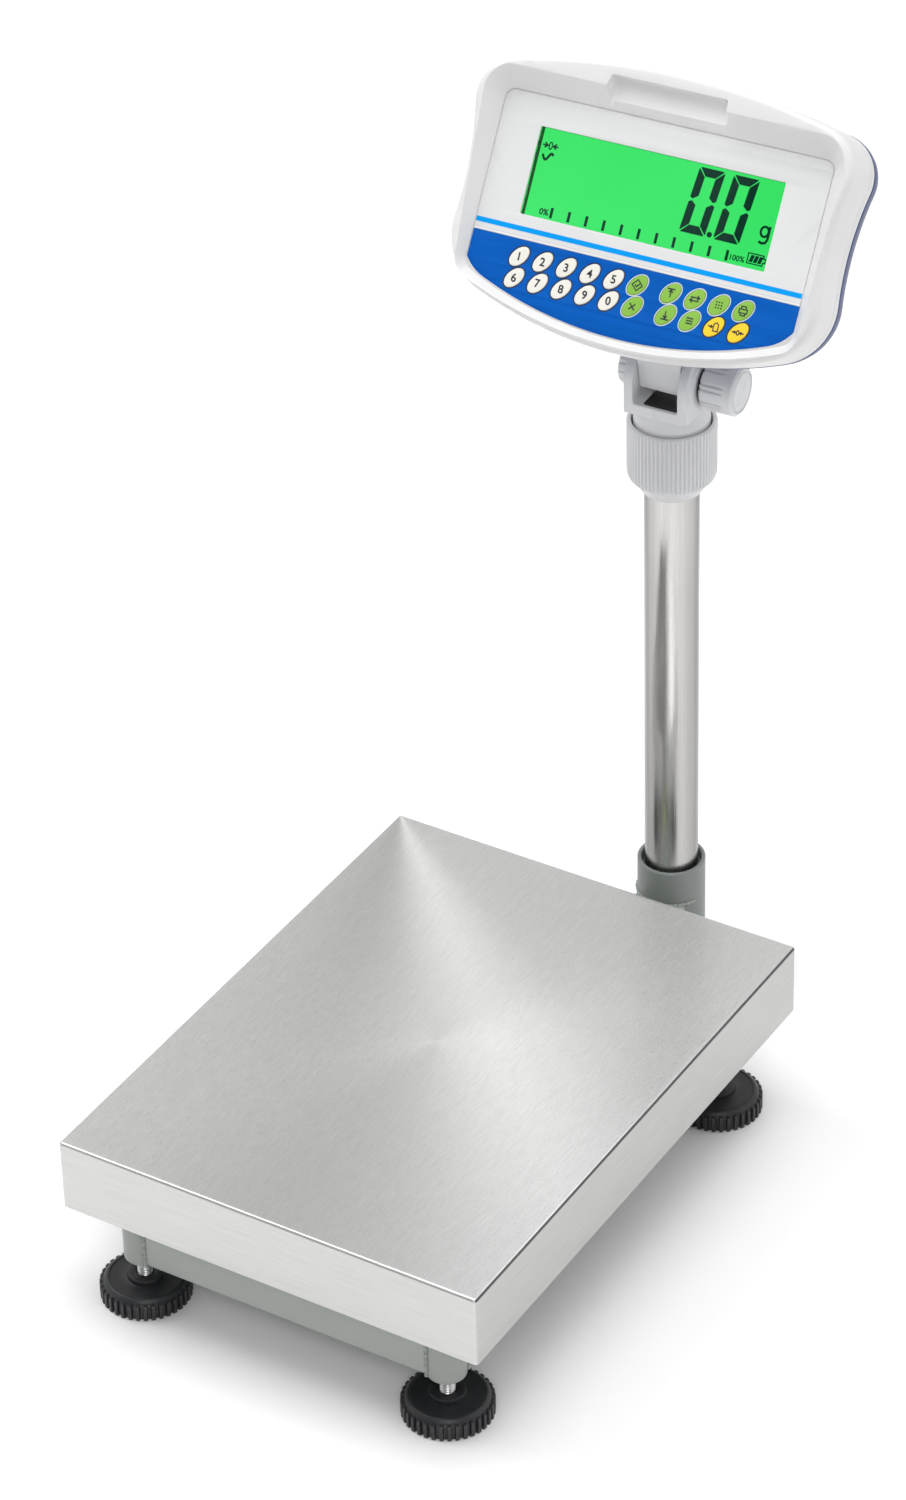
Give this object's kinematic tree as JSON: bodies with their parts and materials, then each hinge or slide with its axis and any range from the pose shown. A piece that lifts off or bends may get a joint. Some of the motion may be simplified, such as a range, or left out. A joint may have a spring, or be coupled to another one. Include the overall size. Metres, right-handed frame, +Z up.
{
  "type": "bench scale",
  "caption": "Bench scale: stainless pan on a load cell frame with levelling feet, and a tilting, swivelling indicator head on a rear post.",
  "frame": {"origin": "on the floor, under the middle of the whole scale's footprint", "axes": "+Z up, +X to the right of the person reading the display, -Y towards that person"},
  "size_m": [0.3, 0.5593, 0.6673],
  "materials": {
    "pan_steel": "brushed along the pan",
    "post_steel": "satin polished tube",
    "frame_paint": "satin powder coat",
    "socket_paint": "satin powder coat",
    "cell_aluminium": "machined",
    "zinc_steel": "zinc plated",
    "buffer_rubber": "matte",
    "cable_sheath": "matte",
    "level_plastic": "clear cap over a green dial",
    "foot_plastic": "fine moulded grain",
    "bracket_plastic": "fine moulded grain",
    "housing_plastic": "fine moulded grain",
    "rear_plastic": "fine moulded grain",
    "panel_film": "fine textured film",
    "keypad_film": "fine textured film",
    "lcd_glass": "clear",
    "lcd_backlight": "lit from behind",
    "circuit_board": "solder mask",
    "battery_case": "plain",
    "connector_shell": "nickel plated",
    "black_plastic": "plain",
    "key_white": "printed dome",
    "key_green": "printed dome",
    "key_yellow": "printed dome"
  },
  "bodies": {
    "base": {"corner_posts": "frame_paint", "frame_rails": "frame_paint", "centre_beam": "frame_paint", "load_cell": "cell_aluminium", "load_cell_spacers": "cell_aluminium", "load_cell_bolts": "zinc_steel", "top_plate": "frame_paint", "pan_buffers": "buffer_rubber", "overload_stops": "zinc_steel", "post_bracket": "socket_paint", "post_clamp_screws": "zinc_steel", "post_tube": "post_steel", "signal_cable": "cable_sheath", "spirit_level": "level_plastic", "post_adapter": "zinc_steel"},
    "pan": {"pan": "pan_steel"},
    "collar": {"collar": "bracket_plastic"},
    "neck": {"neck_fork": "bracket_plastic", "tilt_bolt": "bracket_plastic"},
    "knob": {"clamp_knob": "bracket_plastic"},
    "head": {"head_tongue": "bracket_plastic", "head_front_shell": "housing_plastic", "head_rear_shell": "rear_plastic", "rear_screws": "zinc_steel", "display_panel": "panel_film", "keypad_overlay": "keypad_film", "lcd_window": "lcd_glass", "lcd_module": "lcd_backlight", "main_board": "circuit_board", "battery": "battery_case", "serial_connector": "connector_shell", "power_jack": "black_plastic"},
    "stud_front_left": {"foot_stud_front_left": "zinc_steel"},
    "foot_front_left": {"foot_disc_front_left": "foot_plastic"},
    "stud_front_right": {"foot_stud_front_right": "zinc_steel"},
    "foot_front_right": {"foot_disc_front_right": "foot_plastic"},
    "stud_rear_left": {"foot_stud_rear_left": "zinc_steel"},
    "foot_rear_left": {"foot_disc_rear_left": "foot_plastic"},
    "stud_rear_right": {"foot_stud_rear_right": "zinc_steel"},
    "foot_rear_right": {"foot_disc_rear_right": "foot_plastic"},
    "key_1": {"key_1": "key_white"},
    "key_2": {"key_2": "key_white"},
    "key_3": {"key_3": "key_white"},
    "key_4": {"key_4": "key_white"},
    "key_5": {"key_5": "key_white"},
    "key_check": {"key_check": "key_green"},
    "key_high_limit": {"key_high_limit": "key_green"},
    "key_unit": {"key_unit": "key_green"},
    "key_count": {"key_count": "key_green"},
    "key_print": {"key_print": "key_green"},
    "key_6": {"key_6": "key_white"},
    "key_7": {"key_7": "key_white"},
    "key_8": {"key_8": "key_white"},
    "key_9": {"key_9": "key_white"},
    "key_0": {"key_0": "key_white"},
    "key_clear": {"key_clear": "key_green"},
    "key_low_limit": {"key_low_limit": "key_green"},
    "key_function": {"key_function": "key_green"},
    "key_tare": {"key_tare": "key_yellow"},
    "key_zero": {"key_zero": "key_yellow"}
  },
  "joints": [
    {"name": "pan_lift", "type": "slide", "parent": "base", "child": "pan", "axis": [0, 0, 1], "range_m": [0, 0.06]},
    {"name": "collar_turn", "type": "hinge", "parent": "base", "child": "collar", "pos_m": [0, 0.226, 0.4], "axis": [0, 0, 1], "range_deg": [-120, 120]},
    {"name": "head_swivel", "type": "hinge", "parent": "base", "child": "neck", "pos_m": [0, 0.226, 0.43], "axis": [0, 0, 1], "range_deg": [-170, 170]},
    {"name": "head_tilt", "type": "hinge", "parent": "neck", "child": "head", "pos_m": [0, 0.226, 0.454], "axis": [0.9989, 0.0471, 0], "range_deg": [-30, 30]},
    {"name": "knob_turn", "type": "hinge", "parent": "neck", "child": "knob", "pos_m": [0.03796, 0.22779, 0.454], "axis": [0.9989, 0.0471, 0], "range_deg": [-180, 180]},
    {"name": "stud_height_front_left", "type": "slide", "parent": "base", "child": "stud_front_left", "axis": [0, 0, -1], "range_m": [-0.003, 0.0075]},
    {"name": "foot_turn_front_left", "type": "hinge", "parent": "stud_front_left", "child": "foot_front_left", "pos_m": [-0.111, -0.2505, 0.008], "axis": [0, 0, 1], "range_deg": [-722, 1802]},
    {"name": "stud_height_front_right", "type": "slide", "parent": "base", "child": "stud_front_right", "axis": [0, 0, -1], "range_m": [-0.003, 0.0075]},
    {"name": "foot_turn_front_right", "type": "hinge", "parent": "stud_front_right", "child": "foot_front_right", "pos_m": [0.111, -0.2505, 0.008], "axis": [0, 0, 1], "range_deg": [-722, 1802]},
    {"name": "stud_height_rear_left", "type": "slide", "parent": "base", "child": "stud_rear_left", "axis": [0, 0, -1], "range_m": [-0.003, 0.0075]},
    {"name": "foot_turn_rear_left", "type": "hinge", "parent": "stud_rear_left", "child": "foot_rear_left", "pos_m": [-0.111, 0.0905, 0.008], "axis": [0, 0, 1], "range_deg": [-722, 1802]},
    {"name": "stud_height_rear_right", "type": "slide", "parent": "base", "child": "stud_rear_right", "axis": [0, 0, -1], "range_m": [-0.003, 0.0075]},
    {"name": "foot_turn_rear_right", "type": "hinge", "parent": "stud_rear_right", "child": "foot_rear_right", "pos_m": [0.111, 0.0905, 0.008], "axis": [0, 0, 1], "range_deg": [-722, 1802]},
    {"name": "key_1_press", "type": "slide", "parent": "head", "child": "key_1", "axis": [-0.0396, 0.8387, -0.5432], "range_m": [0, 0.0005], "stiffness_N_per_m": 900},
    {"name": "key_2_press", "type": "slide", "parent": "head", "child": "key_2", "axis": [-0.0396, 0.8387, -0.5432], "range_m": [0, 0.0005], "stiffness_N_per_m": 900},
    {"name": "key_3_press", "type": "slide", "parent": "head", "child": "key_3", "axis": [-0.0396, 0.8387, -0.5432], "range_m": [0, 0.0005], "stiffness_N_per_m": 900},
    {"name": "key_4_press", "type": "slide", "parent": "head", "child": "key_4", "axis": [-0.0396, 0.8387, -0.5432], "range_m": [0, 0.0005], "stiffness_N_per_m": 900},
    {"name": "key_5_press", "type": "slide", "parent": "head", "child": "key_5", "axis": [-0.0396, 0.8387, -0.5432], "range_m": [0, 0.0005], "stiffness_N_per_m": 900},
    {"name": "key_check_press", "type": "slide", "parent": "head", "child": "key_check", "axis": [-0.0396, 0.8387, -0.5432], "range_m": [0, 0.0005], "stiffness_N_per_m": 900},
    {"name": "key_high_limit_press", "type": "slide", "parent": "head", "child": "key_high_limit", "axis": [-0.0396, 0.8387, -0.5432], "range_m": [0, 0.0005], "stiffness_N_per_m": 900},
    {"name": "key_unit_press", "type": "slide", "parent": "head", "child": "key_unit", "axis": [-0.0396, 0.8387, -0.5432], "range_m": [0, 0.0005], "stiffness_N_per_m": 900},
    {"name": "key_count_press", "type": "slide", "parent": "head", "child": "key_count", "axis": [-0.0396, 0.8387, -0.5432], "range_m": [0, 0.0005], "stiffness_N_per_m": 900},
    {"name": "key_print_press", "type": "slide", "parent": "head", "child": "key_print", "axis": [-0.0396, 0.8387, -0.5432], "range_m": [0, 0.0005], "stiffness_N_per_m": 900},
    {"name": "key_6_press", "type": "slide", "parent": "head", "child": "key_6", "axis": [-0.0396, 0.8387, -0.5432], "range_m": [0, 0.0005], "stiffness_N_per_m": 900},
    {"name": "key_7_press", "type": "slide", "parent": "head", "child": "key_7", "axis": [-0.0396, 0.8387, -0.5432], "range_m": [0, 0.0005], "stiffness_N_per_m": 900},
    {"name": "key_8_press", "type": "slide", "parent": "head", "child": "key_8", "axis": [-0.0396, 0.8387, -0.5432], "range_m": [0, 0.0005], "stiffness_N_per_m": 900},
    {"name": "key_9_press", "type": "slide", "parent": "head", "child": "key_9", "axis": [-0.0396, 0.8387, -0.5432], "range_m": [0, 0.0005], "stiffness_N_per_m": 900},
    {"name": "key_0_press", "type": "slide", "parent": "head", "child": "key_0", "axis": [-0.0396, 0.8387, -0.5432], "range_m": [0, 0.0005], "stiffness_N_per_m": 900},
    {"name": "key_clear_press", "type": "slide", "parent": "head", "child": "key_clear", "axis": [-0.0396, 0.8387, -0.5432], "range_m": [0, 0.0005], "stiffness_N_per_m": 900},
    {"name": "key_low_limit_press", "type": "slide", "parent": "head", "child": "key_low_limit", "axis": [-0.0396, 0.8387, -0.5432], "range_m": [0, 0.0005], "stiffness_N_per_m": 900},
    {"name": "key_function_press", "type": "slide", "parent": "head", "child": "key_function", "axis": [-0.0396, 0.8387, -0.5432], "range_m": [0, 0.0005], "stiffness_N_per_m": 900},
    {"name": "key_tare_press", "type": "slide", "parent": "head", "child": "key_tare", "axis": [-0.0396, 0.8387, -0.5432], "range_m": [0, 0.0005], "stiffness_N_per_m": 900},
    {"name": "key_zero_press", "type": "slide", "parent": "head", "child": "key_zero", "axis": [-0.0396, 0.8387, -0.5432], "range_m": [0, 0.0005], "stiffness_N_per_m": 900}
  ],
  "couplings": [
    {"joint": "foot_turn_front_left", "follows": "stud_height_front_left", "rad_per_m": 4188.8},
    {"joint": "foot_turn_front_right", "follows": "stud_height_front_right", "rad_per_m": 4188.8},
    {"joint": "foot_turn_rear_left", "follows": "stud_height_rear_left", "rad_per_m": 4188.8},
    {"joint": "foot_turn_rear_right", "follows": "stud_height_rear_right", "rad_per_m": 4188.8}
  ]
}
